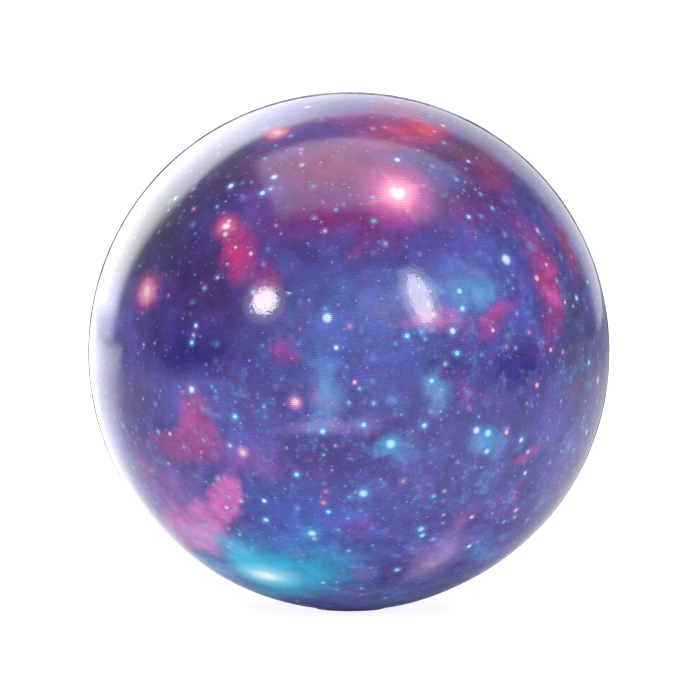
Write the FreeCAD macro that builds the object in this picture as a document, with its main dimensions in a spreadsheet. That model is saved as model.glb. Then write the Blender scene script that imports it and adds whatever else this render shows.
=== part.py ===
import FreeCAD, Part
import math
import os

import Sketcher

# Stress ball: a soft foam ball, printed and glossy, made of concentric layers.
#   foam_core         soft inner foam
#   foam_skin         dense skin that the foam forms against its mould, with the trimmed pour gate
#   front_print_film  printed film over the front half     rear_print_film   the same, rear half
#   front_gloss_coat  clear gloss coat over the front film rear_gloss_coat   the same, rear half
# Frame: +Z up, origin in the middle of the gate's flat, on which the ball stands.
# The front is -Y. The films meet in the plane Y = 0, where each one's rim turns out in a thin lip.

SIZES = {
    "ball_diameter": 63.5,  # over the gloss coat
    "coat_thickness": 0.2,
    "film_thickness": 0.2,
    "bond_line": 0.05,  # clearance for the glue between foam skin and film
    "skin_thickness": 1.5,
    "gate_radius": 4.0,  # flat left where the pour gate is trimmed
    "gate_clearance": 0.2,  # film and coat stay this far from the gate
    "seam_gap": 0.1,  # between the front and rear lips
    "lip_width": 0.35,  # along Y, each
    "lip_height": 0.12,  # proud of the gloss coat
    "lip_clearance": 0.05,  # between a lip and the edge of its coat
}

# Each radius, height and edge below is an expression over the sheet's sizes.
COAT_RADIUS = "Sizes.ball_diameter / 2"
FILM_RADIUS = f"({COAT_RADIUS} - Sizes.coat_thickness)"
LINER_RADIUS = f"({FILM_RADIUS} - Sizes.film_thickness)"
SKIN_RADIUS = f"({LINER_RADIUS} - Sizes.bond_line)"
CORE_RADIUS = f"({SKIN_RADIUS} - Sizes.skin_thickness)"
LIP_RADIUS = f"({COAT_RADIUS} + Sizes.lip_height)"
GATE_RADIUS = "Sizes.gate_radius"
OPENING_RADIUS = "(Sizes.gate_radius + Sizes.gate_clearance)"
# The lips just meet the table at the edge of the opening round the gate.
CENTRE_HEIGHT = f"sqrt({LIP_RADIUS} ^ 2 - {OPENING_RADIUS} ^ 2)"
SEAM_EDGE = "(Sizes.seam_gap / 2)"
LIP_EDGE = f"({SEAM_EDGE} + Sizes.lip_width)"
COAT_EDGE = f"({LIP_EDGE} + Sizes.lip_clearance)"

FRONT, REAR = -1, 1  # which way a half lies along Y
ROOT_POINT = (-1, 1)  # a sketch's own origin, as Sketcher numbers it
VERTICAL_AXIS = -2
START, END, CENTRE = 1, 2, 3
SAME_POINT = 1e-4


def make_sheet(doc):
    sheet = doc.addObject("Spreadsheet::Sheet", "Sizes")
    for row, (alias, value) in enumerate(SIZES.items(), start=1):
        sheet.set(f"A{row}", alias)
        sheet.set(f"B{row}", str(value))
        sheet.setAlias(f"B{row}", alias)
    doc.recompute()
    return sheet


def value(doc, expression):
    """What an expression over the sheet's sizes comes to, in millimetres."""
    return float(doc.Sizes.evalExpression(expression))


def at_radius(radius, height):
    """The point at this height on a circle of this radius about the origin."""
    return FreeCAD.Vector(math.sqrt(radius**2 - height**2), height, 0)


def make_body(doc, label):
    body = doc.addObject("PartDesign::Body", label)
    body.Label = label
    body.setExpression("Placement.Base.z", CENTRE_HEIGHT)
    return body


def make_sketch(body, name, role):
    sketch = body.newObject("Sketcher::SketchObject", name)
    plane = next(f for f in body.Origin.OriginFeatures if f.Role == role)
    sketch.AttachmentSupport = [(plane, "")]
    sketch.MapMode = "FlatFace"
    return sketch


def bind(sketch, constraint, label, expression):
    index = sketch.addConstraint(constraint)
    sketch.renameConstraint(index, label)
    sketch.setExpression(f"Constraints.{label}", expression)


def add_arc(sketch, label, expression, radius, start_deg, end_deg):
    """An arc about the sketch's origin, counter-clockwise, its radius bound to the sheet."""
    circle = Part.Circle(FreeCAD.Vector(), FreeCAD.Vector(0, 0, 1), radius)
    shape = Part.ArcOfCircle(circle, math.radians(start_deg), math.radians(end_deg))
    arc = sketch.addGeometry(shape)
    sketch.addConstraint(Sketcher.Constraint("Coincident", arc, CENTRE, *ROOT_POINT))
    bind(sketch, Sketcher.Constraint("Radius", arc, radius), label, expression)


def add_axis_line(sketch, low, high):
    """A line on the vertical axis, from height low to height high."""
    ends = FreeCAD.Vector(0, low, 0), FreeCAD.Vector(0, high, 0)
    line = sketch.addGeometry(Part.LineSegment(*ends))
    for end in (START, END):
        sketch.addConstraint(Sketcher.Constraint("PointOnObject", line, end, VERTICAL_AXIS))


def add_level_line(sketch, label, expression, start, end):
    """A horizontal line whose distance above or below the origin is bound to the sheet."""
    line = sketch.addGeometry(Part.LineSegment(start, end))
    sketch.addConstraint(Sketcher.Constraint("Horizontal", line))
    upward = (*ROOT_POINT, line, START) if start.y > 0 else (line, START, *ROOT_POINT)
    bind(sketch, Sketcher.Constraint("DistanceY", *upward, abs(start.y)), label, expression)


def add_upright_line(sketch, label, expression, start, end):
    """A vertical line whose distance from the origin is bound to the sheet."""
    line = sketch.addGeometry(Part.LineSegment(start, end))
    sketch.addConstraint(Sketcher.Constraint("Vertical", line))
    across = Sketcher.Constraint("DistanceX", *ROOT_POINT, line, START, start.x)
    bind(sketch, across, label, expression)


def close_profile(sketch):
    """Ties the ends that lie at one place."""
    ends = [(geometry, end) for geometry in range(sketch.GeometryCount) for end in (START, END)]
    for number, first in enumerate(ends):
        for second in ends[number + 1 :]:
            if sketch.getPoint(*first).distanceToPoint(sketch.getPoint(*second)) < SAME_POINT:
                sketch.addConstraint(Sketcher.Constraint("Coincident", *first, *second))


def revolve(body, sketch):
    turned = body.newObject("PartDesign::Revolution", f"{body.Label}_turned")
    turned.Profile = sketch
    turned.ReferenceAxis = (sketch, ["V_Axis"])
    turned.Angle = 360
    sketch.Visibility = False
    return turned


def add_half_arc(sketch, label, expression, radius, side, edge):
    """An arc of one half's profile: from its pole to this distance from the seam plane."""
    tilt_deg = math.degrees(math.asin(edge / radius))
    angles = (-90, -tilt_deg) if side == FRONT else (tilt_deg, 90)
    add_arc(sketch, label, expression, radius, *angles)


def add_gate_opening(doc, body, name):
    """Cuts away the half's share of the round opening that clears the trimmed gate."""
    sketch = make_sketch(body, f"{name}_opening_sketch", "XY_Plane")
    radius = value(doc, OPENING_RADIUS)
    circle = Part.Circle(FreeCAD.Vector(), FreeCAD.Vector(0, 0, 1), radius)
    sketch.addGeometry(circle)
    sketch.addConstraint(Sketcher.Constraint("Coincident", 0, CENTRE, *ROOT_POINT))
    bind(sketch, Sketcher.Constraint("Radius", 0, radius), "opening_radius", OPENING_RADIUS)
    doc.recompute()
    whole = body.Shape.Volume
    opening = body.newObject("PartDesign::Pocket", f"{name}_opening")
    opening.Profile = sketch
    opening.Type = "ThroughAll"  # downwards only, from the ball's centre
    sketch.Visibility = False
    doc.recompute()
    if not body.Shape.Volume < whole:
        raise RuntimeError(f"{name}: the gate opening cuts nothing")


def make_foam_core(doc):
    core = doc.addObject("Part::Sphere", "foam_core")
    core.Label = "foam_core"
    core.setExpression("Radius", CORE_RADIUS)
    core.setExpression("Placement.Base.z", CENTRE_HEIGHT)
    return core


def make_foam_skin(doc):
    body = make_body(doc, "foam_skin")
    sketch = make_sketch(body, "foam_skin_profile", "XZ_Plane")
    outer, inner = value(doc, SKIN_RADIUS), value(doc, CORE_RADIUS)
    gate, floor = value(doc, GATE_RADIUS), -value(doc, CENTRE_HEIGHT)
    shoulder = at_radius(outer, -math.sqrt(outer**2 - gate**2))
    shoulder_deg = math.degrees(math.atan2(shoulder.y, shoulder.x))
    corner = FreeCAD.Vector(gate, floor, 0)
    add_arc(sketch, "outer_radius", SKIN_RADIUS, outer, shoulder_deg, 90)
    add_upright_line(sketch, "gate_radius", GATE_RADIUS, shoulder, corner)
    add_level_line(sketch, "floor", CENTRE_HEIGHT, corner, FreeCAD.Vector(0, floor, 0))
    add_axis_line(sketch, floor, -inner)
    add_arc(sketch, "inner_radius", CORE_RADIUS, inner, -90, 90)
    add_axis_line(sketch, inner, outer)
    close_profile(sketch)
    revolve(body, sketch)
    return body


def make_print_film(doc, name, side):
    body = make_body(doc, name)
    sketch = make_sketch(body, f"{name}_profile", "XY_Plane")
    outer, inner = value(doc, FILM_RADIUS), value(doc, LINER_RADIUS)
    lip, seam, edge = value(doc, LIP_RADIUS), value(doc, SEAM_EDGE), value(doc, LIP_EDGE)
    outer_rim = at_radius(outer, side * edge)
    inner_rim = at_radius(inner, side * seam)
    lip_back = FreeCAD.Vector(lip, side * edge, 0)
    lip_face = FreeCAD.Vector(lip, side * seam, 0)
    add_half_arc(sketch, "outer_radius", FILM_RADIUS, outer, side, edge)
    add_level_line(sketch, "lip_edge", LIP_EDGE, outer_rim, lip_back)
    add_upright_line(sketch, "lip_radius", LIP_RADIUS, lip_back, lip_face)
    add_level_line(sketch, "seam_edge", SEAM_EDGE, lip_face, inner_rim)
    add_half_arc(sketch, "inner_radius", LINER_RADIUS, inner, side, seam)
    add_axis_line(sketch, side * inner, side * outer)
    close_profile(sketch)
    revolve(body, sketch)
    add_gate_opening(doc, body, name)
    return body


def make_gloss_coat(doc, name, side):
    body = make_body(doc, name)
    sketch = make_sketch(body, f"{name}_profile", "XY_Plane")
    outer, inner = value(doc, COAT_RADIUS), value(doc, FILM_RADIUS)
    edge = value(doc, COAT_EDGE)
    rims = at_radius(outer, side * edge), at_radius(inner, side * edge)
    add_half_arc(sketch, "outer_radius", COAT_RADIUS, outer, side, edge)
    add_level_line(sketch, "coat_edge", COAT_EDGE, *rims)
    add_half_arc(sketch, "inner_radius", FILM_RADIUS, inner, side, edge)
    add_axis_line(sketch, side * inner, side * outer)
    close_profile(sketch)
    revolve(body, sketch)
    add_gate_opening(doc, body, name)
    return body


def check(doc, pieces):
    for item in doc.Objects:
        if "Invalid" in item.State or "Error" in item.State:
            raise RuntimeError(f"{item.Label}: {item.State}")
    for piece in pieces:
        shape = piece.Shape
        if shape.isNull() or not shape.isValid() or len(shape.Solids) != 1:
            raise RuntimeError(f"{piece.Label}: the shape isn't one valid solid")


def main():
    doc = FreeCAD.newDocument("stress_ball")
    make_sheet(doc)
    pieces = [make_foam_core(doc), make_foam_skin(doc)]
    for half, side in (("front", FRONT), ("rear", REAR)):
        pieces.append(make_print_film(doc, f"{half}_print_film", side))
        pieces.append(make_gloss_coat(doc, f"{half}_gloss_coat", side))
    doc.recompute()
    check(doc, pieces)
    os.makedirs("parts", exist_ok=True)
    for piece in pieces:
        piece.Shape.exportStep(f"parts/{piece.Label}.step")
        box = piece.Shape.BoundBox
        volume_cm3 = piece.Shape.Volume / 1000
        print(f"{piece.Label}: {volume_cm3:.3f} cm3, Z {box.ZMin:.3f} to {box.ZMax:.3f} mm")


main()
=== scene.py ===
import math

import bpy
from mathutils import Matrix, Vector, noise


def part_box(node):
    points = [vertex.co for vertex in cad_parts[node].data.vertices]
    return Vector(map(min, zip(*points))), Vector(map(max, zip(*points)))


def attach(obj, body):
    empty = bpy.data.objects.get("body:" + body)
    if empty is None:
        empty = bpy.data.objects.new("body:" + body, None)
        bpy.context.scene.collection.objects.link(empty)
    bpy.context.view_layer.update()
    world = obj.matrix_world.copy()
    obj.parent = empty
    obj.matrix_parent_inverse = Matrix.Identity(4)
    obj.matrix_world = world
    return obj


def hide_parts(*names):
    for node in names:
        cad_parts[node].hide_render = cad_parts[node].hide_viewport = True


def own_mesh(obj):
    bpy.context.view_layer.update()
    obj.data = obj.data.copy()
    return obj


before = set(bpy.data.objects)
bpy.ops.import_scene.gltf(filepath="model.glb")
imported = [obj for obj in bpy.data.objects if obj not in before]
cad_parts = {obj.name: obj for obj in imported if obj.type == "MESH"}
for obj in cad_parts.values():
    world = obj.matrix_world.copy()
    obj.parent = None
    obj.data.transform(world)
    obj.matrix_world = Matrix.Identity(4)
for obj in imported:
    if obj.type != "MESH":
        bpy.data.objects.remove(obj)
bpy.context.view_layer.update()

MM = 0.001
FRONT, REAR = -1, 1  # which way a half lies along Y

# ---------------------------------------------------------------- sizes, from the frame
COAT_LOW, COAT_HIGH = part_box("front_gloss_coat")
FILM_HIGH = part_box("front_print_film")[1]
BALL_RADIUS = -COAT_LOW.y
LIP_RADIUS = FILM_HIGH.x
SKIN_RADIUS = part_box("foam_skin")[1].x
CORE_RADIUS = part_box("foam_core")[1].x
CENTRE = Vector((0, 0, FILM_HIGH.z - LIP_RADIUS))
SEAM_EDGE = -FILM_HIGH.y  # how far a cap's film stops short of the seam plane
COAT_EDGE = -COAT_HIGH.y  # how far its gloss coat does
COAT_THICKNESS = 0.2 * MM
FILM_THICKNESS = 0.2 * MM
LINER_RADIUS = BALL_RADIUS - COAT_THICKNESS - FILM_THICKNESS  # the film's inner face
GATE_RADIUS = 4.0 * MM  # the trimmed pour gate's flat
OPENING_RADIUS = 4.2 * MM  # the film stops this far from the gate's middle


def smooth_step(low, high, x):
    t = min(1.0, max(0.0, (x - low) / (high - low)))
    return t * t * (3 - 2 * t)


def facing(across, up, side=FRONT):
    """The unit vector at a place on a cap, in degrees from the cap's pole as its viewer sees them."""
    tilt = math.hypot(across, up)
    if tilt == 0:
        return Vector((0, side, 0))
    reach = math.sin(math.radians(tilt)) / tilt
    return Vector((-side * reach * across, side * math.cos(math.radians(tilt)), reach * up))


# ---------------------------------------------------------------- shape
# Where the moulding is a little flat or full: (direction, width in degrees, height).
SWELLS = [
    (facing(38, -70), 26, -0.14 * MM),
    (facing(0, 88), 40, -0.34 * MM),
    (facing(82, 12), 32, -0.22 * MM),
    (facing(-72, -40), 30, 0.16 * MM),
    (facing(14, 17), 11, -0.035 * MM),
    (facing(-30, 30, REAR), 34, -0.15 * MM),
    (facing(40, -20, REAR), 30, 0.12 * MM),
]
RIPPLE = 0.02 * MM  # small unevenness of the moulded surface
RIPPLES_PER_RADIUS = 3.0
NEAR_GATE, CLEAR_OF_GATE = 9, 24  # degrees from the gate between which the swells grow in


def swell(direction):
    """How far the surface stands above a true sphere in this direction."""
    height = 0.0
    for middle, width, amount in SWELLS:
        away = math.degrees(direction.angle(middle)) / width
        height += amount * math.exp(-away * away)
    height += RIPPLE * noise.noise(direction * RIPPLES_PER_RADIUS)
    from_gate = math.degrees(direction.angle(Vector((0, 0, -1))))
    return height * smooth_step(NEAR_GATE, CLEAR_OF_GATE, from_gate)


def on_ball(direction, radius):
    """A point of the ball's surface, or of a layer under it, in the CAD frame."""
    return CENTRE + direction * (radius + swell(direction) * radius / BALL_RADIUS)


SQUARE_CELLS = 56  # per side of the square block at a cap's pole
RINGS = 44  # from that block to the rim
SQUARE_REACH = 0.36  # half the block's side, as a share of the way to the rim
AROUND = 4 * SQUARE_CELLS


def square_edge(index):
    """A place on the edge of the unit square, counted round it from its lower left corner."""
    side, step = divmod(index, SQUARE_CELLS)
    along = 2 * step / SQUARE_CELLS - 1
    return [(along, -1), (1, along), (-along, 1), (-1, -along)][side]


def round_edge(index):
    """The place on the unit circle that lies out from square_edge's place of this index."""
    angle = 2 * math.pi * index / AROUND - 3 * math.pi / 4
    return math.cos(angle), math.sin(angle)


def cap_grid():
    """Places on a unit disc as (across, up), quads over them and the rim's places, in order.

    A square block lies in the middle, with rings round it.
    """
    places = []
    number = {}
    for j in range(SQUARE_CELLS + 1):
        for i in range(SQUARE_CELLS + 1):
            x = 2 * i / SQUARE_CELLS - 1
            y = 2 * j / SQUARE_CELLS - 1
            number[i, j] = len(places)
            places.append((SQUARE_REACH * x, SQUARE_REACH * y))
    quads = [
        (number[i, j], number[i + 1, j], number[i + 1, j + 1], number[i, j + 1])
        for j in range(SQUARE_CELLS)
        for i in range(SQUARE_CELLS)
    ]
    n = SQUARE_CELLS
    edge = (  # the block's edge, in the order of square_edge
        [number[i, 0] for i in range(n)]
        + [number[n, j] for j in range(n)]
        + [number[n - i, n] for i in range(n)]
        + [number[0, n - j] for j in range(n)]
    )
    for ring in range(1, RINGS + 1):
        share = ring / RINGS
        row = []
        for index in range(AROUND):
            sx, sy = square_edge(index)
            cx, cy = round_edge(index)
            row.append(len(places))
            x = (1 - share) * SQUARE_REACH * sx + share * cx
            y = (1 - share) * SQUARE_REACH * sy + share * cy
            places.append((x, y))
        quads += bridge(edge, row)
        edge = row
    return places, quads, edge


def bridge(inner, outer):
    """Quads between two closed rows of points."""
    count = len(inner)
    return [
        (inner[k], outer[k], outer[(k + 1) % count], inner[(k + 1) % count]) for k in range(count)
    ]


GATE_NOTCH_START = 0.86  # share of the way to the rim at which rows begin to bend round the gate


def rim_distance(direction, edge):
    """How far a cap stops from the seam plane: edge, or further beside the gate."""
    sideways = direction.x * BALL_RADIUS
    if direction.z > 0 or abs(sideways) >= OPENING_RADIUS:
        return edge
    return max(edge, math.sqrt(OPENING_RADIUS**2 - sideways**2))


def cap_direction(place, side, edge):
    """The direction of a place on the unit disc, whose rim lies this far from the seam plane."""
    across, up = place
    reach = math.hypot(across, up)
    if reach == 0:
        return Vector((0, side, 0))
    rim = facing(90 * across / reach, 90 * up / reach, side)
    full = math.pi / 2 - math.asin(edge / BALL_RADIUS)
    beside_gate = math.pi / 2 - math.asin(rim_distance(rim, edge) / BALL_RADIUS)
    tilt = reach * (full + (beside_gate - full) * smooth_step(GATE_NOTCH_START, 1.0, reach))
    return facing(math.degrees(tilt) * across / reach, math.degrees(tilt) * up / reach, side)


# A cap's rim from the gloss coat's edge over the film's turned-out lip to its inner face:
# (distance from the seam plane, height above the ball's surface).
LIP_RISE = LIP_RADIUS - BALL_RADIUS
RIM_PROFILE = [
    (COAT_EDGE - 0.02 * MM, -0.05 * MM),
    (COAT_EDGE - 0.05 * MM, -0.10 * MM),
    (COAT_EDGE - 0.07 * MM, 0.6 * LIP_RISE),
    (COAT_EDGE - 0.12 * MM, LIP_RISE),
    (SEAM_EDGE + 0.06 * MM, LIP_RISE),
    (SEAM_EDGE, 0.6 * LIP_RISE),
    (SEAM_EDGE, -0.15 * MM),
]
# A cap's bake map: the outside in the middle, the rim round it and the inner face in a corner.
MAP_MIDDLE, MAP_REACH = 0.5, 0.47
RIM_MAP_STEP = 0.003
INNER_MAP_MIDDLE, INNER_MAP_REACH = 0.07, 0.066


def make_cap(name, side):
    """A printed film cap with its gloss coat, as one closed shell."""
    places, disc_quads, edge = cap_grid()
    points, directions, spots = [], [], []

    def add(direction, height, spot):
        directions.append(direction)
        points.append(on_ball(direction, BALL_RADIUS + height))
        spots.append(spot)
        return len(points) - 1

    def spot_of(place, reach, middle=MAP_MIDDLE):
        return middle + reach * place[0], middle + reach * place[1]

    for place in places:
        add(cap_direction(place, side, COAT_EDGE), 0, spot_of(place, MAP_REACH))
    faces = list(disc_quads)
    last = edge
    for step, (distance, height) in enumerate(RIM_PROFILE, start=1):
        row = []
        for index in range(AROUND):
            place = round_edge(index)
            spot = spot_of(place, MAP_REACH + step * RIM_MAP_STEP)
            row.append(add(cap_direction(place, side, distance), height, spot))
        faces += bridge(last, row)
        last = row
    rim_faces = len(faces)
    base = len(points)
    for place in places:
        direction = cap_direction(place, side, SEAM_EDGE)
        add(direction, LINER_RADIUS - BALL_RADIUS, spot_of(place, INNER_MAP_REACH, INNER_MAP_MIDDLE))
    inner_edge = [base + k for k in edge]
    faces += bridge(last, inner_edge)
    faces += [tuple(base + k for k in reversed(quad)) for quad in disc_quads]
    return build(name, points, directions, spots, faces, rim_faces, flip=side == REAR)


def build(name, points, directions, spots, faces, outer_faces, flip=False):
    """A smooth mesh object. Faces past outer_faces take the second material slot."""
    mesh = bpy.data.meshes.new(name)
    if flip:
        faces = [tuple(reversed(face)) for face in faces]
    mesh.from_pydata(points, [], faces)
    mesh.update()
    film = mesh.attributes.new("film_direction", "FLOAT_VECTOR", "POINT")
    film.data.foreach_set("vector", [c for d in directions for c in d])
    laid_flat = mesh.attributes.new("film_place", "FLOAT_VECTOR", "POINT")
    laid_flat.data.foreach_set("vector", [c for d in directions for c in flattened(d)])
    layer = mesh.uv_layers.new(name="OFBake")
    for loop in mesh.loops:
        layer.data[loop.index].uv = spots[loop.vertex_index]
    for polygon in mesh.polygons:
        polygon.use_smooth = True
        polygon.material_index = 0 if polygon.index < outer_faces else 1
    made = bpy.data.objects.new(name, mesh)
    bpy.context.scene.collection.objects.link(made)
    return made


def flattened(direction):
    """Where a point of the film lay before it was formed over the ball, in millimetres from the pole."""
    side = REAR if direction.y > 0 else FRONT
    tilt = math.acos(min(1.0, abs(direction.y)))
    reach = math.hypot(direction.x, direction.z)
    if reach == 0:
        return 0.0, 0.0, 0.0
    length = tilt * BALL_RADIUS / MM / reach
    return -side * direction.x * length, direction.z * length, 0.0


# ---------------------------------------------------------------- foam
FOAM_ROWS, FOAM_AROUND = 90, 144
CORE_GAP = 0.02 * MM  # between the filling and the skin round it
CELL_DEPTH = 0.12 * MM  # how deep the cut foam's cells are
CELLS_PER_METRE = 900
# The gate's flat from its trimmed corner inwards: (distance from its middle, height).
GATE_RINGS = [
    (GATE_RADIUS, 0.06 * MM),
    (GATE_RADIUS - 0.05 * MM, 0.01 * MM),
    (GATE_RADIUS - 0.3 * MM, 0.0),
    (0.75 * GATE_RADIUS, 0.0),
    (0.5 * GATE_RADIUS, 0.0),
    (0.25 * GATE_RADIUS, 0.0),
]


def inner_angles():
    """Angles from the top of the rings of a whole sphere, in radians, without its two end points."""
    return [math.pi * row / FOAM_ROWS for row in range(1, FOAM_ROWS)]


def ring_points(angle_down, radius):
    """One level ring of the ball's surface, or of a layer under it, this far down from the top."""
    rim = []
    for k in range(FOAM_AROUND):
        turn = 2 * math.pi * k / FOAM_AROUND
        flat = math.sin(angle_down)
        direction = Vector((flat * math.cos(turn), flat * math.sin(turn), math.cos(angle_down)))
        rim.append(on_ball(direction, radius))
    return rim


def closed_turning(top, rings, bottom):
    """Points and faces of a closed form: a top point, rings under it and a bottom point."""
    points = [top]
    for ring in rings:
        points += ring
    points.append(bottom)
    count = FOAM_AROUND
    faces = [(0, 1 + k, 1 + (k + 1) % count) for k in range(count)]
    for row in range(len(rings) - 1):
        a, b = 1 + row * count, 1 + (row + 1) * count
        faces += [(a + k, b + k, b + (k + 1) % count, a + (k + 1) % count) for k in range(count)]
    a = 1 + (len(rings) - 1) * count
    last = len(points) - 1
    faces += [(a + k, last, a + (k + 1) % count) for k in range(count)]
    return points, faces


def foam_object(name, points, faces):
    mesh = bpy.data.meshes.new(name)
    mesh.from_pydata(points, [], faces)
    mesh.update()
    for polygon in mesh.polygons:
        polygon.use_smooth = True
    made = bpy.data.objects.new(name, mesh)
    bpy.context.scene.collection.objects.link(made)
    return made


def make_core():
    """The soft inner foam, its surface pitted with cells."""
    rings = []
    for angle in inner_angles():
        ring = ring_points(angle, CORE_RADIUS - CORE_GAP)
        pits = [CELL_DEPTH * abs(noise.noise(p * CELLS_PER_METRE)) for p in ring]
        rings.append([p - (p - CENTRE).normalized() * pit for p, pit in zip(ring, pits)])
    up = Vector((0, 0, CORE_RADIUS - CORE_GAP))
    points, faces = closed_turning(CENTRE + up, rings, CENTRE - up)
    return foam_object("foam_filling", points, faces)


def make_skin():
    """The dense skin round the core, with the trimmed gate's flat at the bottom."""
    shoulder = math.pi - math.asin(GATE_RADIUS / SKIN_RADIUS)
    angles = [shoulder * row / FOAM_ROWS for row in range(1, FOAM_ROWS + 1)]
    rings = [ring_points(angle, SKIN_RADIUS) for angle in angles]
    turns = [2 * math.pi * k / FOAM_AROUND for k in range(FOAM_AROUND)]
    for reach, height in GATE_RINGS:
        rings.append([Vector((reach * math.cos(t), reach * math.sin(t), height)) for t in turns])
    outer, outer_faces = closed_turning(CENTRE + Vector((0, 0, SKIN_RADIUS)), rings, Vector())
    inside = [ring_points(angle, CORE_RADIUS) for angle in inner_angles()]
    up = Vector((0, 0, CORE_RADIUS))
    inner, inner_faces = closed_turning(CENTRE + up, inside, CENTRE - up)
    base = len(outer)
    hollow = [tuple(base + k for k in reversed(face)) for face in inner_faces]
    return foam_object("moulded_skin", outer + inner, outer_faces + hollow)


# ---------------------------------------------------------------- material nodes
class Nodes:
    """Short ways to add shader nodes to one tree. Each call gives back an output socket."""

    def __init__(self, tree):
        self.tree = tree

    def add(self, kind, **settings):
        node = self.tree.nodes.new(kind)
        for key, setting in settings.items():
            setattr(node, key, setting)
        return node

    def put(self, socket, value):
        """Links another node's output to this input, or sets a plain value on it."""
        if isinstance(value, bpy.types.NodeSocket):
            self.tree.links.new(value, socket)
        elif value is not None:
            socket.default_value = value

    def math(self, operation, *values, clamp=False):
        node = self.add("ShaderNodeMath", operation=operation, use_clamp=clamp)
        for socket, value in zip(node.inputs, values):
            self.put(socket, value)
        return node.outputs[0]

    def vector(self, operation, *values):
        node = self.add("ShaderNodeVectorMath", operation=operation)
        for socket, value in zip(node.inputs, values):
            self.put(socket, value)
        scalar = operation in ("DOT_PRODUCT", "LENGTH", "DISTANCE")
        return node.outputs["Value" if scalar else "Vector"]

    def scaled(self, vector, factor):
        node = self.add("ShaderNodeVectorMath", operation="SCALE")
        self.put(node.inputs[0], vector)
        self.put(node.inputs["Scale"], factor)
        return node.outputs["Vector"]

    def blend(self, share, first, second, how="MIX"):
        """From the first colour to the second. A Mix node's colours are inputs 6 and 7 and output 2."""
        node = self.add("ShaderNodeMix", data_type="RGBA", blend_type=how, clamp_factor=True)
        self.put(node.inputs[0], share)
        self.put(node.inputs[6], colour(first))
        self.put(node.inputs[7], colour(second))
        return node.outputs[2]

    def ramp(self, value, low, high, start=0.0, end=1.0):
        """Smoothly from start at low to end at high."""
        node = self.add("ShaderNodeMapRange", interpolation_type="SMOOTHSTEP")
        for name, number in zip(
            ("Value", "From Min", "From Max", "To Min", "To Max"), (value, low, high, start, end)
        ):
            self.put(node.inputs[name], number)
        return node.outputs["Result"]

    def noise(self, vector, scale, detail=2.0, rough=0.5, output="Fac"):
        node = self.add("ShaderNodeTexNoise")
        values = (vector, scale, detail, rough)
        for name, value in zip(("Vector", "Scale", "Detail", "Roughness"), values):
            self.put(node.inputs[name], value)
        return node.outputs[output]

    def cells(self, vector, scale):
        node = self.add("ShaderNodeTexVoronoi")
        self.put(node.inputs["Vector"], vector)
        self.put(node.inputs["Scale"], scale)
        return node.outputs

    def attribute(self, name):
        return self.add("ShaderNodeAttribute", attribute_name=name).outputs["Vector"]


def colour(value):
    """Three colour numbers get their alpha. Sockets and single numbers stay as they are."""
    return (*value, 1.0) if isinstance(value, tuple) and len(value) == 3 else value


def new_material(name):
    material = bpy.data.materials.new(name)
    material.use_nodes = True
    tree = material.node_tree
    return material, Nodes(tree), tree.nodes["Principled BSDF"]


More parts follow.
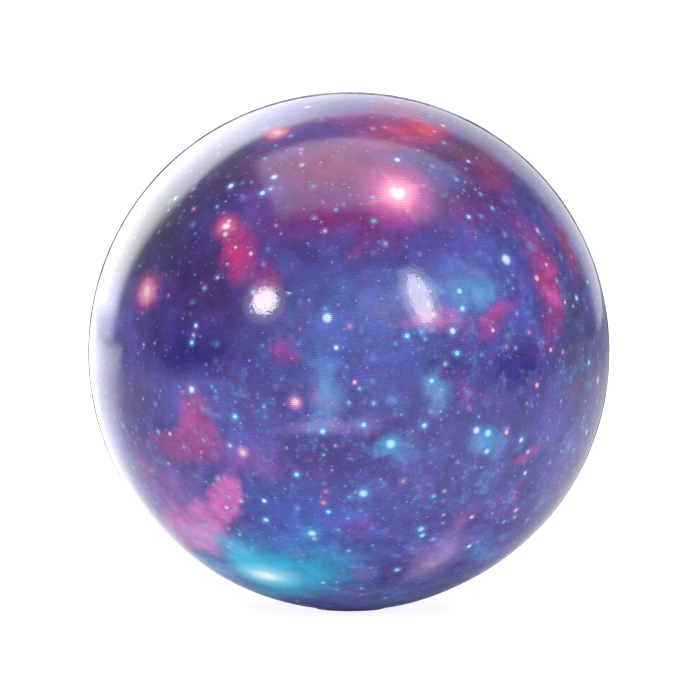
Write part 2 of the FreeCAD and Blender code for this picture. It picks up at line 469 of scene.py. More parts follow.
# ---------------------------------------------------------------- the night-sky print
# Clouds of ink: (across, up, half width, half height, turn, colour, share, softness), in degrees
# from the cap's pole. Softness is how much of the cloud is its fading edge.
FRONT_CLOUDS = [
    (0, 10, 34, 22, 0, (0.064, 0.096, 0.330), 0.85, 1.0),
    (-12, -38, 26, 20, 0, (0.034, 0.080, 0.350), 0.75, 1.0),
    (30, -24, 36, 28, 0, (0.070, 0.075, 0.275), 0.75, 1.0),
    (62, 10, 18, 30, 0, (0.060, 0.055, 0.150), 0.75, 1.0),
    (-36, 22, 26, 26, 0, (0.044, 0.014, 0.105), 0.92, 0.9),
    (-54, 36, 26, 20, 40, (0.022, 0.020, 0.055), 0.92, 0.8),
    (-32, 56, 16, 13, 0, (0.034, 0.020, 0.070), 0.88, 0.9),
    (-37, 3, 16, 10, 0, (0.016, 0.010, 0.150), 0.88, 1.0),
    (-58, -6, 18, 18, 0, (0.062, 0.045, 0.180), 0.75, 1.0),
    (-6, 50, 26, 15, 0, (0.200, 0.030, 0.110), 0.88, 0.9),
    (-30, 47, 12, 10, 0, (0.045, 0.020, 0.080), 0.85, 1.0),
    (-4, 36, 28, 11, 0, (0.150, 0.012, 0.120), 0.92, 1.0),
    (-2, 67, 20, 7, 0, (0.220, 0.060, 0.240), 0.8, 1.0),
    (16, 76, 20, 9, 0, (0.330, 0.060, 0.220), 0.7, 1.0),
    (14, 62, 20, 10, 0, (0.350, 0.052, 0.150), 0.85, 1.0),
    (20, 66, 9, 8, 0, (0.560, 0.055, 0.080), 0.75, 1.0),
    (32, 58, 16, 10, 0, (0.140, 0.052, 0.110), 0.85, 1.0),
    (38, 50, 11, 9, 20, (0.220, 0.035, 0.100), 0.8, 1.0),
    (32, 39, 20, 10, 0, (0.095, 0.020, 0.130), 0.88, 1.0),
    (51, 46, 11, 6, 0, (0.055, 0.050, 0.170), 0.75, 1.0),
    (50, 23, 8, 18, 6, (0.300, 0.026, 0.150), 0.85, 1.0),
    (52, 17, 5, 9, 10, (0.480, 0.070, 0.290), 0.75, 1.0),
    (62, 33, 5, 13, 10, (0.300, 0.020, 0.080), 0.75, 1.0),
    (50, 8, 6, 9, 0, (0.200, 0.020, 0.140), 0.7, 1.0),
    (42, -1, 17, 7, 0, (0.020, 0.014, 0.185), 0.88, 1.0),
    (24, 18, 14, 10, 0, (0.100, 0.190, 0.500), 0.75, 1.0),
    (12, 15, 12, 8, 0, (0.120, 0.150, 0.400), 0.6, 1.0),
    (28, 17, 9, 6, 0, (0.090, 0.270, 0.540), 0.65, 1.0),
    (20, 10, 11, 3.4, 0, (0.380, 0.110, 0.340), 0.7, 1.0),
    (34, 12, 9, 3.2, 32, (0.380, 0.060, 0.240), 0.7, 1.0),
    (-5, -3, 5, 12, 0, (0.090, 0.240, 0.540), 0.75, 1.0),
    (10, -16, 8, 5, 0, (0.080, 0.230, 0.540), 0.65, 1.0),
    (32, -17, 7, 5, 0, (0.080, 0.270, 0.560), 0.75, 1.0),
    (-10, -38, 7, 6, 0, (0.050, 0.180, 0.480), 0.6, 1.0),
    (-4, -12, 16, 3.4, 14, (0.250, 0.200, 0.520), 0.55, 1.0),
    (19, -4, 5, 7, 30, (0.110, 0.290, 0.560), 0.8, 1.0),
    (-15, 5, 5, 4, 0, (0.300, 0.030, 0.210), 0.5, 1.0),
    (-26.5, 29, 5.5, 12, 26, (0.480, 0.024, 0.150), 0.82, 1.0),
    (-19, 20, 5, 7, 0, (0.240, 0.020, 0.160), 0.7, 1.0),
    (-49, -32, 20, 13, 20, (0.200, 0.095, 0.320), 0.75, 1.0),
    (-23, -22, 14, 6, 0, (0.230, 0.060, 0.290), 0.5, 1.0),
    (-37, -11, 7, 7, 30, (0.250, 0.040, 0.200), 0.8, 0.7),
    (-36, -17, 8, 6, -20, (0.270, 0.045, 0.210), 0.8, 0.6),
    (-43, -19, 8, 4, -30, (0.280, 0.055, 0.240), 0.6, 0.8),
    (-55, -28, 5, 4, 0, (0.300, 0.060, 0.230), 0.6, 1.0),
    (-42, -43, 19, 8.5, 18, (0.430, 0.120, 0.360), 0.85, 0.6),
    (-31, -34, 5, 11, -30, (0.440, 0.090, 0.330), 0.85, 0.45),
    (-39, -47, 13, 8, 0, (0.430, 0.200, 0.450), 0.8, 0.7),
    (-16, -53, 22, 15, -8, (0.005, 0.310, 0.500), 0.92, 0.9),
    (-28, -50, 7, 9, 10, (0.060, 0.380, 0.600), 0.8, 0.8),
    (22, -50, 10, 13, -18, (0.330, 0.200, 0.440), 0.8, 1.0),
    (28, -38, 4, 7, -40, (0.300, 0.080, 0.260), 0.55, 1.0),
    (44, -22, 6, 2.6, 40, (0.300, 0.060, 0.250), 0.7, 0.9),
    (36, -53, 10, 6, -30, (0.060, 0.180, 0.450), 0.65, 1.0),
    (1, -38, 6, 6, 0, (0.180, 0.040, 0.240), 0.4, 1.0),
    (6, -68, 38, 14, 0, (0.070, 0.105, 0.300), 0.8, 1.0),
    (-13, -60, 12, 9, 0, (0.012, 0.330, 0.560), 0.75, 1.0),
    (-26, -70, 20, 9, 0, (0.030, 0.330, 0.560), 0.85, 1.0),
    (-38, -61, 11, 9, 0, (0.110, 0.330, 0.600), 0.85, 1.0),
]
REAR_CLOUDS = [
    (-10, 8, 38, 20, 20, (0.058, 0.078, 0.300), 0.85, 1.0),
    (30, -20, 34, 22, -10, (0.046, 0.028, 0.180), 0.8, 1.0),
    (44, 30, 30, 24, 0, (0.024, 0.020, 0.070), 0.92, 0.9),
    (-46, 32, 26, 24, 0, (0.044, 0.014, 0.110), 0.92, 0.9),
    (-30, -30, 26, 18, 0, (0.030, 0.065, 0.300), 0.75, 1.0),
    (-8, 62, 30, 14, 0, (0.150, 0.050, 0.200), 0.85, 1.0),
    (2, 38, 28, 10, 10, (0.150, 0.014, 0.130), 0.9, 1.0),
    (24, 46, 18, 10, 24, (0.300, 0.035, 0.150), 0.85, 1.0),
    (36, 62, 14, 8, 0, (0.330, 0.040, 0.110), 0.8, 1.0),
    (-22, 30, 6, 14, -30, (0.420, 0.030, 0.160), 0.88, 1.0),
    (-30, -6, 15, 7, -28, (0.300, 0.050, 0.230), 0.85, 0.7),
    (-22, -12, 9, 6, 30, (0.330, 0.070, 0.270), 0.8, 0.6),
    (24, 4, 15, 9, 10, (0.090, 0.240, 0.540), 0.75, 1.0),
    (4, 10, 6, 12, -30, (0.110, 0.260, 0.540), 0.75, 1.0),
    (10, -12, 12, 4, 18, (0.360, 0.080, 0.300), 0.7, 1.0),
    (-8, -24, 7, 6, 0, (0.070, 0.240, 0.540), 0.7, 1.0),
    (-2, -34, 18, 7, 8, (0.230, 0.060, 0.290), 0.6, 1.0),
    (30, -50, 24, 13, 14, (0.005, 0.310, 0.500), 0.9, 0.9),
    (-40, -46, 22, 14, -20, (0.140, 0.080, 0.300), 0.8, 1.0),
    (-34, -42, 14, 7, -34, (0.420, 0.110, 0.340), 0.85, 0.6),
    (-50, -52, 9, 7, 0, (0.380, 0.160, 0.400), 0.8, 0.7),
    (62, -6, 8, 18, -8, (0.300, 0.026, 0.150), 0.75, 1.0),
    (54, -34, 12, 8, 0, (0.060, 0.170, 0.430), 0.7, 1.0),
    (-66, 2, 8, 14, 0, (0.060, 0.170, 0.400), 0.6, 1.0),
    (0, -70, 36, 12, 0, (0.040, 0.085, 0.250), 0.75, 1.0),
]
# Stars by tint: (across, up, radius), in degrees.
FRONT_STARS = {
    "ice": [
        (-5, 12, 1.35), (38, 26, 1.5), (-37, -5, 1.0), (-19, 47, 0.8), (-21.5, 42.5, 0.8),
        (-30.5, 45.5, 0.9), (12, 52, 0.8), (23, 9, 0.9), (-48, 44.5, 0.7), (62, 17, 0.8),
        (41.5, -18, 0.7), (-36, 10, 0.6), (70, 22, 0.6), (29, -14, 1.0), (31, -48, 0.8),
        (44, -27.5, 0.6), (69, -22, 0.7), (-3, 5.5, 0.7), (-20, -31, 0.7), (32, 54, 0.6),
    ],
    "cyan": [
        (9, -16, 1.35), (32, -15, 1.1), (-9, -39.5, 1.2), (3, -28, 1.15), (32, -19.5, 0.8),
        (-12, -23.5, 0.7), (17, -39, 0.9), (17.5, -41, 0.7), (-26, -10.5, 0.7), (3, -11.5, 0.7),
        (25, 18, 0.8), (25.5, 14, 0.8), (12.5, 8, 0.7), (24, 4, 0.7), (-37, 6, 0.6),
        (16.5, -12, 0.7), (-6, -13, 0.8), (-5, -33, 0.6), (18, -2, 0.7), (-20, -36.5, 0.8),
        (-7, -58, 0.7), (12, -53, 0.7), (29, 36.5, 0.6), (66.5, -1, 0.7),
    ],
    "pink": [
        (-52, 18.5, 1.3), (-29.5, 35.3, 0.75), (-30, 32, 0.85), (-27, 28.5, 0.5), (-23, 26.8, 0.65),
        (-20.5, 63.5, 1.2), (-12, -6.5, 1.05), (-24.5, -19, 0.9), (47, 21.7, 0.9), (50, 35, 0.75),
        (51, 25.5, 0.6), (45.5, -4.7, 0.7), (43.5, -39, 0.8), (30, -37.5, 0.7), (37, -15.4, 0.7),
        (33, 9, 0.65), (50, 3.7, 0.65), (27.5, 68.5, 0.8), (73, -7, 1.2), (-30, -34.5, 0.7),
        (-13, 76, 1.0), (56.5, 15.7, 0.6), (24, 64.5, 0.6), (-44, -16.7, 0.55), (1, -2, 0.6),
    ],
}
REAR_STARS = {
    "ice": [
        (-14, 20, 1.1), (30, 24, 1.2), (-44, 10, 0.9), (8, -14, 0.9), (50, -24, 0.9),
        (-24, 52, 0.8), (2, 48, 0.7),
    ],
    "cyan": [
        (18, 6, 1.3), (27, 0, 1.0), (-6, 2, 1.1), (12, -38, 1.2), (-18, -30, 0.9),
        (40, -34, 0.9), (-52, -20, 0.9),
    ],
    "pink": [
        (16, 41, 1.5), (-34, 28, 1.2), (-26, -12, 1.0), (44, 8, 0.9), (4, -24, 0.8),
        (-46, 44, 0.8), (30, -60, 0.9),
    ],
}
TINTS = {  # a star's middle and its glow
    "ice": ((0.46, 0.60, 0.74), (0.09, 0.16, 0.48)),
    "cyan": ((0.28, 0.60, 0.68), (0.04, 0.25, 0.52)),
    "pink": ((0.60, 0.38, 0.48), (0.25, 0.05, 0.22)),
}
# Big glowing stars: (across, up, radius of the glow, half width and half height of the core,
# turn, glow, core, share of the rays).
FRONT_FLARES = [
    (11.5, 42, 12.0, 5.0, 5.0, 0, (0.560, 0.060, 0.260), (0.92, 0.40, 0.52), 0.25),
    (-22.5, -58, 13.0, 9.5, 5.5, -6, (0.015, 0.420, 0.640), (0.36, 0.74, 0.82), 0.0),
    (-52, 18.5, 6.5, 3.4, 3.4, 0, (0.360, 0.045, 0.180), (0.80, 0.36, 0.46), 0.35),
    (-30, 34, 5.0, 2.6, 2.6, 0, (0.360, 0.035, 0.150), (0.60, 0.18, 0.30), 0.0),
    (-20, 63, 5.0, 2.6, 2.6, 0, (0.460, 0.050, 0.130), (0.90, 0.40, 0.40), 0.2),
    (-12, -6.5, 3.2, 1.7, 1.7, 0, (0.200, 0.070, 0.300), (0.60, 0.40, 0.62), 0.0),
    (-24.5, -19, 2.8, 1.5, 1.5, 0, (0.220, 0.090, 0.300), (0.62, 0.46, 0.66), 0.0),
]
REAR_FLARES = [
    (16, 41, 12.0, 5.0, 5.0, 0, (0.560, 0.060, 0.260), (0.92, 0.40, 0.52), 0.25),
    (38, -46, 11.0, 8.0, 4.0, 8, (0.015, 0.390, 0.600), (0.42, 0.74, 0.82), 0.0),
    (-34, 28, 5.5, 3.0, 3.0, 0, (0.420, 0.045, 0.170), (0.95, 0.42, 0.48), 0.3),
    (-26, -12, 3.2, 1.7, 1.7, 0, (0.300, 0.080, 0.300), (0.75, 0.40, 0.62), 0.0),
]
STAR_HEART = (0.95, 0.86, 0.88)  # the whitest ink, in the middle of a flare
RAY_TURNS = (20, 110)
# Layers of scattered stars: (cells per ball radius, biggest star as a share of a cell, share).
DUST, SMALL_STARS, RARE_STARS = (46.0, 0.30, 0.50), (22.0, 0.29, 0.85), (10.0, 0.13, 0.90)
DUST_TINTS = [(0.09, 0.38, 0.62), (0.34, 0.46, 0.70), (0.55, 0.20, 0.38)]
# How far noise bends the clouds, tears their edges and shakes the flares, in ball radii.
BEND, TEAR, SHAKE = 0.22, 0.09, 0.02
GROUND = (0.041, 0.032, 0.198), (0.066, 0.064, 0.310)  # the sky's deep and pale ground
WARM_TINT, FLECK_TINT = (0.26, 0.040, 0.220), (0.09, 0.27, 0.60)
LIP_TINTS = (0.085, 0.082, 0.165), (0.29, 0.29, 0.40)
# Ink dots: each row of the lattice as dots per millimetre of flat film, across and up.
DOT_ROWS = [(-0.25, 4.26), (3.75, 1.61)]
DOT_STRENGTH = 0.24
COAT_RELIEF = 0.007 * MM  # the gloss coat's unevenness


def cloud_axes(across, up, turn, side):
    """The directions along a cloud's width and height."""
    middle = facing(across, up, side)
    right = Vector((0, 0, 1)).cross(middle).normalized()
    spin = Matrix.Rotation(math.radians(turn), 3, middle)
    return spin @ right, spin @ middle.cross(right)


def add_cloud(nodes, ink, where, cloud, side):
    """An oval cloud of ink whose edge fades. Its reach is measured along its own two axes."""
    across, up, width, height, turn, tint, share, softness = cloud
    along, upwards = cloud_axes(across, up, turn, side)
    x = nodes.vector("DOT_PRODUCT", where, along / math.sin(math.radians(width)))
    y = nodes.vector("DOT_PRODUCT", where, upwards / math.sin(math.radians(height)))
    away = nodes.math("MULTIPLY_ADD", x, x, nodes.math("MULTIPLY", y, y))
    away = nodes.math("SQRT", away)
    return nodes.blend(nodes.ramp(away, 1.0, 1.0 - softness, 0.0, share), ink, tint)


def add_placed_stars(nodes, ink, where, stars, tint, side):
    """Stars placed one by one, each with a glow that reaches out to 2.4 of its radii."""
    nearest = None
    for across, up, radius in stars:
        away = nodes.vector("DISTANCE", where, tuple(facing(across, up, side)))
        away = nodes.math("DIVIDE", away, math.radians(radius))
        nearest = away if nearest is None else nodes.math("MINIMUM", nearest, away)
    middle, glow = TINTS[tint]
    ink = nodes.blend(nodes.ramp(nearest, 2.4, 0.5, 0.0, 0.5), ink, glow)
    return nodes.blend(nodes.ramp(nearest, 1.05, 0.3, 0.0, 0.95), ink, middle)


def add_flare(nodes, ink, where, flare, side):
    """One big glowing star: a wide glow, a soft bright core and, for some, a faint cross of rays."""
    across, up, radius, core_width, core_height, turn, glow, middle, rays = flare
    away = nodes.vector("DISTANCE", where, tuple(facing(across, up, side)))
    away = nodes.math("DIVIDE", away, math.radians(radius))
    ink = nodes.blend(nodes.ramp(away, 1.0, 0.0, 0.0, 0.95), ink, glow)
    if rays:
        for ray_turn in RAY_TURNS:
            ray = (across, up, 0.85 * radius, 0.11 * radius, ray_turn, middle, rays, 1.0)
            ink = add_cloud(nodes, ink, where, ray, side)
    core = (across, up, 1.2 * core_width, 1.2 * core_height, turn, middle, 0.85, 1.0)
    ink = add_cloud(nodes, ink, where, core, side)
    heart = (across, up, 0.5 * core_width, 0.5 * core_height, turn, STAR_HEART, 0.95, 1.0)
    return add_cloud(nodes, ink, where, heart, side)


def add_scattered_stars(nodes, ink, where, layer, crowding):
    """Stars scattered at random: small ones are common and big ones are rare."""
    per_radius, biggest, share = layer
    blue, pale, pink = DUST_TINTS
    found = nodes.cells(where, per_radius)
    chance = nodes.add("ShaderNodeSeparateColor")
    nodes.put(chance.inputs[0], found["Color"])
    size = nodes.math("POWER", chance.outputs[0], 3.0)
    size = nodes.math("MULTIPLY_ADD", size, biggest * 0.8, biggest * 0.2)
    away = nodes.math("DIVIDE", found["Distance"], size)
    shown = nodes.math("LESS_THAN", chance.outputs[1], crowding)
    tint = nodes.blend(nodes.ramp(chance.outputs[2], 0.35, 0.6), blue, pale)
    tint = nodes.blend(nodes.ramp(chance.outputs[2], 0.76, 0.84), tint, pink)
    glow = nodes.math("MULTIPLY", nodes.ramp(away, 2.2, 0.4, 0.0, 0.22 * share), shown)
    ink = nodes.blend(glow, ink, tint)
    spot = nodes.math("MULTIPLY", nodes.ramp(away, 1.0, 0.2, 0.0, share), shown)
    return nodes.blend(spot, ink, tint)


def centred_noise(nodes, where, scale, detail):
    """Noise that pushes a point to every side alike."""
    made = nodes.noise(where, scale, detail, 0.6, "Color")
    return nodes.vector("SUBTRACT", made, (0.5, 0.5, 0.5))


def add_mottling(nodes, ink, where, shifted, warm, side):
    """Warm patches, blue flecks that are rare at the upper left, and fine light and dark."""
    ink = nodes.blend(nodes.ramp(warm, 0.54, 0.76, 0.0, 0.40), ink, WARM_TINT)
    flecks = nodes.noise(nodes.vector("ADD", shifted, (2.0, 6.0, 4.0)), 14.0, 6.0, 0.68)
    upper_left = nodes.vector("DOT_PRODUCT", where, (0.6 * side, 0, 1))
    lower_sky = nodes.ramp(upper_left, 0.42, 0.12, 0.05, 0.58)
    flecked = nodes.math("MULTIPLY", nodes.ramp(flecks, 0.50, 0.78), lower_sky)
    ink = nodes.blend(flecked, ink, FLECK_TINT)
    mottle = nodes.noise(shifted, 10.0, 8.0, 0.70)
    return nodes.blend(1.0, ink, nodes.ramp(mottle, 0.28, 0.72, 0.72, 1.25), "MULTIPLY")


def add_stars(nodes, ink, where, shifted, stars, side):
    """Stars, from dust to the bright ones placed one by one."""
    crowd = nodes.ramp(nodes.noise(shifted, 3.0, 2.0, 0.5), 0.35, 0.65, 0.45, 1.0)
    ink = add_scattered_stars(nodes, ink, where, DUST, crowd)
    ink = add_scattered_stars(nodes, ink, shifted, SMALL_STARS, crowd)
    ink = add_scattered_stars(nodes, ink, where, RARE_STARS, crowd)
    for tint, placed in stars.items():
        ink = add_placed_stars(nodes, ink, where, placed, tint, side)
    return ink


def add_dots_and_lip(nodes, ink, warm):
    """The lattice of ink dots, and the film's turned-out rim, which is partly bare."""
    laid_flat = nodes.attribute("film_place")
    waves = []
    for across, up in DOT_ROWS:
        phase = nodes.vector("DOT_PRODUCT", laid_flat, (math.tau * across, math.tau * up, 0.0))
        waves.append(nodes.math("COSINE", phase))
    dots = nodes.math("ADD", *waves)
    ink = nodes.scaled(ink, nodes.math("MULTIPLY_ADD", dots, DOT_STRENGTH, 1.0))
    reach = nodes.vector("LENGTH", laid_flat)
    seam = math.pi / 2 * BALL_RADIUS / MM
    lip = nodes.blend(nodes.ramp(warm, 0.34, 0.62), *LIP_TINTS)
    return nodes.blend(nodes.ramp(reach, seam - 0.55, seam - 0.40), ink, lip)


def coat_bump(nodes, where):
    """The gloss coat's fine unevenness, which crinkles small reflections."""
    fine = nodes.noise(where, 105.0, 2.0, 0.6)
    coarse = nodes.noise(where, 20.0, 1.0, 0.4)
    bump = nodes.add("ShaderNodeBump")
    bump.inputs["Strength"].default_value = 1.0
    bump.inputs["Distance"].default_value = COAT_RELIEF
    nodes.put(bump.inputs["Height"], nodes.math("MULTIPLY_ADD", coarse, 1.2, fine))
    return bump.outputs[0]


def print_material(name, clouds, flares, stars, side, seed):
    """The printed film under its clear gloss coat."""
    material, nodes, shader = new_material(name)
    where = nodes.attribute("film_direction")
    shifted = nodes.vector("ADD", where, (seed, 2 * seed, -seed))
    bent = centred_noise(nodes, shifted, 3.2, 4.0)
    torn = centred_noise(nodes, shifted, 11.0, 3.0)
    swirled = nodes.vector("ADD", where, nodes.scaled(bent, BEND))
    swirled = nodes.vector("ADD", swirled, nodes.scaled(torn, TEAR))

    broad = nodes.noise(shifted, 2.1, 3.0, 0.55)
    ink = nodes.blend(nodes.ramp(broad, 0.35, 0.65), *GROUND)
    for cloud in clouds:
        ink = add_cloud(nodes, ink, swirled, cloud, side)
    warm = nodes.noise(nodes.vector("ADD", shifted, (5.0, 1.0, 3.0)), 6.0, 5.0, 0.62)
    ink = add_mottling(nodes, ink, where, shifted, warm, side)
    shaken = nodes.vector("ADD", where, nodes.scaled(torn, SHAKE))
    for flare in flares:
        ink = add_flare(nodes, ink, shaken, flare, side)
    ink = add_stars(nodes, ink, where, shifted, stars, side)
    ink = add_dots_and_lip(nodes, ink, warm)

    relief = coat_bump(nodes, where)
    nodes.put(shader.inputs["Base Color"], ink)
    nodes.put(shader.inputs["Normal"], relief)
    nodes.put(shader.inputs["Coat Normal"], relief)
    shader.inputs["Roughness"].default_value = 0.45
    shader.inputs["Specular IOR Level"].default_value = 0.15
    shader.inputs["Coat Weight"].default_value = 1.0
    shader.inputs["Coat Roughness"].default_value = 0.05
    shader.inputs["Coat IOR"].default_value = 1.5
    return material


def film_back_material():
    """The film's unprinted inner face, with dried glue."""
    material, nodes, shader = new_material("film_back")
    where = nodes.attribute("film_direction")
    patchy = nodes.noise(where, 12.0, 4.0, 0.6)
    nodes.put(
        shader.inputs["Base Color"],
        nodes.blend(nodes.ramp(patchy, 0.35, 0.65), (0.62, 0.62, 0.66), (0.78, 0.77, 0.74)),
    )
    nodes.put(shader.inputs["Roughness"], nodes.ramp(patchy, 0.3, 0.7, 0.35, 0.6))
    return material


def foam_material(name, light, dark, cells_per_metre):
    """Polyurethane foam: small cells, with painted shade darkening their hollows."""
    material, nodes, shader = new_material(name)
    where = nodes.add("ShaderNodeTexCoord").outputs["Object"]
    cell = nodes.cells(where, cells_per_metre)["Distance"]
    tone = nodes.noise(where, cells_per_metre / 8, 3.0, 0.6)
    # Painted shade: the cells' hollows are blended towards the dark colour.
    hollow = nodes.ramp(cell, 0.55, 0.15, 0.0, 0.7)
    ink = nodes.blend(nodes.ramp(tone, 0.3, 0.7), light, tuple(0.9 * c for c in light))
    nodes.put(shader.inputs["Base Color"], nodes.blend(hollow, ink, dark))
    nodes.put(shader.inputs["Roughness"], nodes.ramp(cell, 0.0, 0.6, 0.95, 0.7))
    bump = nodes.add("ShaderNodeBump")
    bump.inputs["Strength"].default_value = 0.8
    bump.inputs["Distance"].default_value = 0.15 * MM
    nodes.put(bump.inputs["Height"], cell)
    nodes.put(shader.inputs["Normal"], bump.outputs[0])
    return material


# ---------------------------------------------------------------- the pieces
# Each foam's colour, the painted shade in its cells' hollows, and its cells per metre.
FOAM_LIGHT, FOAM_HOLLOW_SHADE, FOAM_CELLS = (0.86, 0.84, 0.78), (0.50, 0.47, 0.40), 1300
SKIN_LIGHT, SKIN_HOLLOW_SHADE, SKIN_CELLS = (0.84, 0.82, 0.76), (0.58, 0.55, 0.48), 2600
REAR_SEED = 7.3  # shifts the rear print's noise, so that it isn't the front's


def make_pieces():
    """Both printed caps and both foams, each on its body."""
    prints = {
        "front": print_material("front_print", FRONT_CLOUDS, FRONT_FLARES, FRONT_STARS, FRONT, 0.0),
        "rear": print_material("rear_print", REAR_CLOUDS, REAR_FLARES, REAR_STARS, REAR, REAR_SEED),
    }
    back = film_back_material()
    caps = {}
    for half, side in (("front", FRONT), ("rear", REAR)):
        cap = make_cap(f"{half}_printed_cap", side)
        cap.data.materials.append(prints[half])
        cap.data.materials.append(back)
        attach(cap, f"{half}_half")
        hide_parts(f"{half}_print_film", f"{half}_gloss_coat")
        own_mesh(cap)
        caps[half] = cap
    soft = foam_material("soft_foam", FOAM_LIGHT, FOAM_HOLLOW_SHADE, FOAM_CELLS)
    dense = foam_material("dense_foam", SKIN_LIGHT, SKIN_HOLLOW_SHADE, SKIN_CELLS)
    for foam, node, slot, material in (
        (make_core(), "foam_core", "soft_foam", soft),
        (make_skin(), "foam_skin", "dense_foam", dense),
    ):
        foam.data.materials.append(material)
        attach(foam, "rear_half")
        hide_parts(node)
        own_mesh(foam)
    return caps


# ---------------------------------------------------------------- studio
LAMP_DISTANCE = 1.2
LAMP_TINT = (1.0, 0.90, 0.82)
# Each half's front lamps: (name, azimuth, elevation, width, height, radiance, turn), in degrees
# and metres. The wide faint ones are the halo round the small bright ones.
LAMPS = [
    ("round_lamp", -41, 24, 0.225, 0.225, 22.0, 0),
    ("tall_lamp", 34, 26, 0.18, 0.44, 13.0, 8),
    ("round_lamp_glow", -41, 24, 0.40, 0.40, 2.0, 0),
    ("tall_lamp_glow", 34, 26, 0.34, 0.60, 3.0, 8),
]
OVERHEAD_HEIGHT, OVERHEAD_RADIANCE = 1.0, 1.9
ROOM_LEFT, ROOM_RIGHT, ROOM_FAR, ROOM_TOP = -1.6, 1.5, 1.0, 1.25  # the mirrored wall and table
TABLE_NEAR, TABLE_HEIGHT = -0.03, 0.0003
FLOOR_REACH, FLOOR_GLOW = 12.0, 0.84


def towards(azimuth, elevation):
    """The direction from the ball to something at this azimuth, 0 in front and 90 to the right."""
    a, e = math.radians(azimuth), math.radians(elevation)
    return Vector((math.sin(a) * math.cos(e), -math.cos(a) * math.cos(e), math.sin(e)))


def only_for(light, piece):
    """Lets one piece alone catch this light."""
    catching = bpy.data.collections.new(f"{light.name}_catching")
    catching.objects.link(piece)
    light.light_linking.receiver_collection = catching


def add_lamp(name, azimuth, elevation, width, height, radiance, turn, cap):
    """A small round or oval lamp that one cap alone mirrors."""
    lamp = bpy.data.lights.new(name, "AREA")
    lamp.shape = "ELLIPSE"
    lamp.size, lamp.size_y = width, height
    lamp.energy = radiance * math.pi * width * height * math.pi / 4
    lamp.color = LAMP_TINT
    made = bpy.data.objects.new(name, lamp)
    way = towards(azimuth, elevation)
    made.location = CENTRE + way * LAMP_DISTANCE
    aim = way.to_track_quat("Z", "Y").to_matrix() @ Matrix.Rotation(math.radians(turn), 3, "Z")
    made.rotation_euler = aim.to_euler()
    made.visible_camera = False
    bpy.context.scene.collection.objects.link(made)
    only_for(made, cap)


def add_panel(name, corners, strength):
    """A glowing flat panel in the ball's reflections. strength(nodes, place) gives its brightness."""
    mesh = bpy.data.meshes.new(name)
    mesh.from_pydata(corners, [], [(0, 1, 2, 3)])
    panel = bpy.data.objects.new(name, mesh)
    bpy.context.scene.collection.objects.link(panel)
    material = bpy.data.materials.new(name)
    material.use_nodes = True
    material.node_tree.nodes.clear()
    nodes = Nodes(material.node_tree)
    place = nodes.add("ShaderNodeSeparateXYZ")
    nodes.put(place.inputs[0], nodes.add("ShaderNodeTexCoord").outputs["Object"])
    glow = nodes.add("ShaderNodeEmission")
    nodes.put(glow.inputs["Strength"], strength(nodes, place.outputs))
    clear = nodes.add("ShaderNodeBsdfTransparent")
    both = nodes.add("ShaderNodeAddShader")
    nodes.put(both.inputs[0], glow.outputs[0])
    nodes.put(both.inputs[1], clear.outputs[0])
    output = nodes.add("ShaderNodeOutputMaterial")
    nodes.put(output.inputs["Surface"], both.outputs[0])
    mesh.materials.append(material)
    panel.visible_camera = panel.visible_shadow = False
    return panel


def product(nodes, *factors):
    """All the factors multiplied."""
    total = factors[0]
    for factor in factors[1:]:
        total = nodes.math("MULTIPLY", total, factor)
    return total


def add_overhead_box():
    """One big soft box overhead, crisp at its left and fading at its right."""

    def strength(nodes, place):
        return product(
            nodes,
            nodes.ramp(place[0], -0.54, -0.44, 0.0, OVERHEAD_RADIANCE),  # the crisp left edge
            nodes.ramp(place[0], 0.85, 0.35),  # the right end
            nodes.ramp(place[1], -0.43, -0.23),  # the near edge
            nodes.ramp(place[1], 0.50, 0.38),  # the far edge
        )

    corners = [(-0.7, -0.5), (0.85, -0.5), (0.85, 0.65), (-0.7, 0.65)]
    add_panel("overhead_box", [(x, y, OVERHEAD_HEIGHT) for x, y in corners], strength)


def add_backdrop(side, cap):
    """A lit white wall and table behind the ball, brightest at the left, that one cap alone mirrors."""
    turn = 1 if side == FRONT else -1

    def wall_strength(nodes, place):
        across = nodes.math("MULTIPLY", place[0], float(turn))
        sloping_top = nodes.math("MULTIPLY_ADD", across, 0.6, place[2])
        sloping_foot = nodes.math("MULTIPLY_ADD", across, 0.1, place[2])
        return product(
            nodes,
            nodes.ramp(across, 0.15, -0.55, 1.0, 3.5),  # brighter to the left
            nodes.ramp(across, -1.45, -0.95),  # the left end
            nodes.ramp(across, 0.85, 0.50),  # the right end
            nodes.ramp(sloping_top, 1.22, 0.85),  # a top that falls to the right
            nodes.ramp(sloping_foot, -0.04, 0.03, 0.55, 1.0),  # dimmer at the foot
            nodes.ramp(place[2], 1.25, 0.95),  # the level top
        )

    def table_strength(nodes, place):
        across = nodes.math("MULTIPLY", place[0], float(turn))
        back = nodes.math("MULTIPLY", place[1], float(turn))
        slanting_edge = nodes.math("MULTIPLY_ADD", back, 1.8, across)
        return product(
            nodes,
            nodes.ramp(across, 0.00, -0.03, 0.15, 1.45),  # faint to the right of the ball's middle
            nodes.ramp(slanting_edge, -0.06, 0.04),  # dark close by at the left
            nodes.ramp(back, -0.017, 0.02),  # the near edge
            nodes.ramp(back, 0.08, 0.28, 1.0, 1.6),  # brighter further back
            nodes.ramp(across, -0.90, -0.25, 0.35, 1.0),  # dimmer far to the left
        )

    wall = [(x, ROOM_FAR, z) for x, z in rectangle(ROOM_LEFT, ROOM_RIGHT, TABLE_HEIGHT, ROOM_TOP)]
    table = [(x, y, TABLE_HEIGHT) for x, y in rectangle(ROOM_LEFT, ROOM_RIGHT, TABLE_NEAR, ROOM_FAR)]
    for kind, corners, strength in (("wall", wall, wall_strength), ("table", table, table_strength)):
        corners = [(turn * x, turn * y, z) for x, y, z in corners]
        panel = add_panel(f"{kind}_mirrored_{cap.name}", corners, strength)
        panel.visible_diffuse = False
        only_for(panel, cap)


def rectangle(left, right, near, far):
    """Its four corners in order."""
    return [(left, near), (right, near), (right, far), (left, far)]


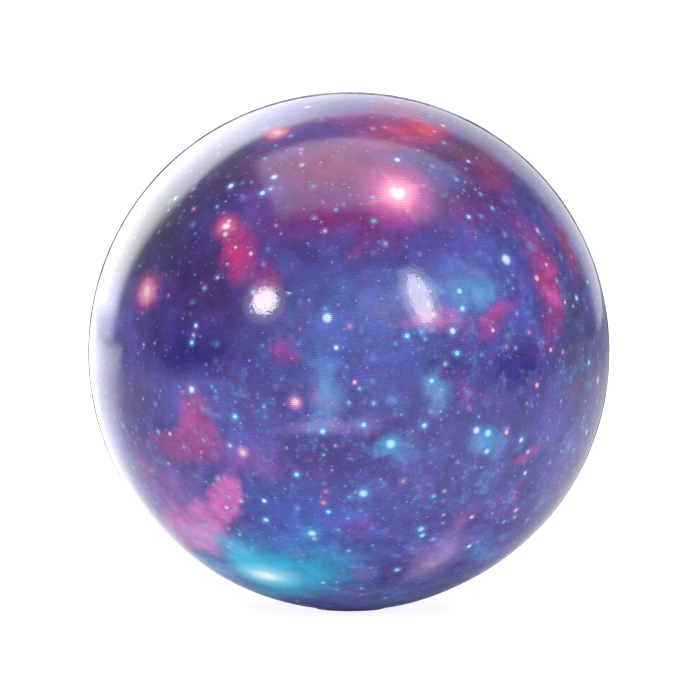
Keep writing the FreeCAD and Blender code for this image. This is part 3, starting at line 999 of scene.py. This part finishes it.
def add_floor():
    """A pale floor that glows everywhere but in the ball's reflections, where its colour is a painted
    pool of light, pale near the ball and dim further off.
    """
    mesh = bpy.data.meshes.new("floor")
    outline = rectangle(-FLOOR_REACH, FLOOR_REACH, -FLOOR_REACH, FLOOR_REACH)
    mesh.from_pydata([(x, y, 0) for x, y in outline], [], [(0, 1, 2, 3)])
    floor = bpy.data.objects.new("floor", mesh)
    bpy.context.scene.collection.objects.link(floor)
    material, nodes, shader = new_material("floor_white")
    away = nodes.vector("LENGTH", nodes.add("ShaderNodeTexCoord").outputs["Object"])
    path = nodes.add("ShaderNodeLightPath")
    # Painted light: in the ball's reflections the floor's colour is pale near the ball and dims further
    # off.
    mirrored = nodes.blend(nodes.ramp(away, 0.07, 0.45), (0.50, 0.50, 0.52), (0.04, 0.04, 0.05))
    seen = nodes.blend(path.outputs["Is Glossy Ray"], (0.7, 0.7, 0.7), mirrored)
    nodes.put(shader.inputs["Base Color"], seen)
    shader.inputs["Emission Color"].default_value = (1, 1, 1, 1)
    lit = nodes.math("MULTIPLY_ADD", path.outputs["Is Glossy Ray"], -FLOOR_GLOW, FLOOR_GLOW)
    nodes.put(shader.inputs["Emission Strength"], lit)
    shader.inputs["Roughness"].default_value = 1.0
    shader.inputs["Specular IOR Level"].default_value = 0.0
    mesh.materials.append(material)


def add_world():
    """White behind the ball, even fill light, and a dim room in the ball's reflections."""
    world = bpy.data.worlds.new("studio")
    bpy.context.scene.world = world
    world.use_nodes = True
    world.node_tree.nodes.clear()
    nodes = Nodes(world.node_tree)
    path = nodes.add("ShaderNodeLightPath")
    room = nodes.blend(path.outputs["Is Diffuse Ray"], (0.035, 0.035, 0.045), (0.75, 0.75, 0.76))
    seen = nodes.blend(path.outputs["Is Camera Ray"], room, (1.0, 1.0, 1.0))
    background = nodes.add("ShaderNodeBackground")
    nodes.put(background.inputs["Color"], seen)
    output = nodes.add("ShaderNodeOutputWorld")
    nodes.put(output.inputs["Surface"], background.outputs[0])


def add_studio(caps):
    add_world()
    add_floor()
    add_overhead_box()
    # Each half has its own front lamps and backdrop, so that the ball looks alike from both sides.
    for half, side, turned in (("front", FRONT, 0), ("rear", REAR, 180)):
        cap = caps[half]
        for name, azimuth, elevation, width, height, radiance, turn in LAMPS:
            add_lamp(f"{name}_{half}", azimuth + turned, elevation, width, height, radiance, turn, cap)
        add_backdrop(side, cap)


CAMERA_ELEVATION, LENS, SENSOR = 5.0, 900.0, 36.0
SHARE_OF_FRAME = 0.744  # the ball's width in the picture


def add_camera():
    """Nearly level with the ball, from far off with a long lens."""
    half_angle = math.atan(SHARE_OF_FRAME * SENSOR / 2 / LENS)
    camera = bpy.data.cameras.new("camera")
    camera.lens, camera.sensor_width = LENS, SENSOR
    camera.clip_start, camera.clip_end = 0.05, 50.0
    made = bpy.data.objects.new("camera", camera)
    way = towards(0, CAMERA_ELEVATION)
    made.location = CENTRE + way * (BALL_RADIUS / math.sin(half_angle))
    made.rotation_euler = way.to_track_quat("Z", "Y").to_euler()
    bpy.context.scene.collection.objects.link(made)
    bpy.context.scene.camera = made


caps = make_pieces()
add_studio(caps)
add_camera()
bpy.context.scene.view_settings.view_transform = "Standard"
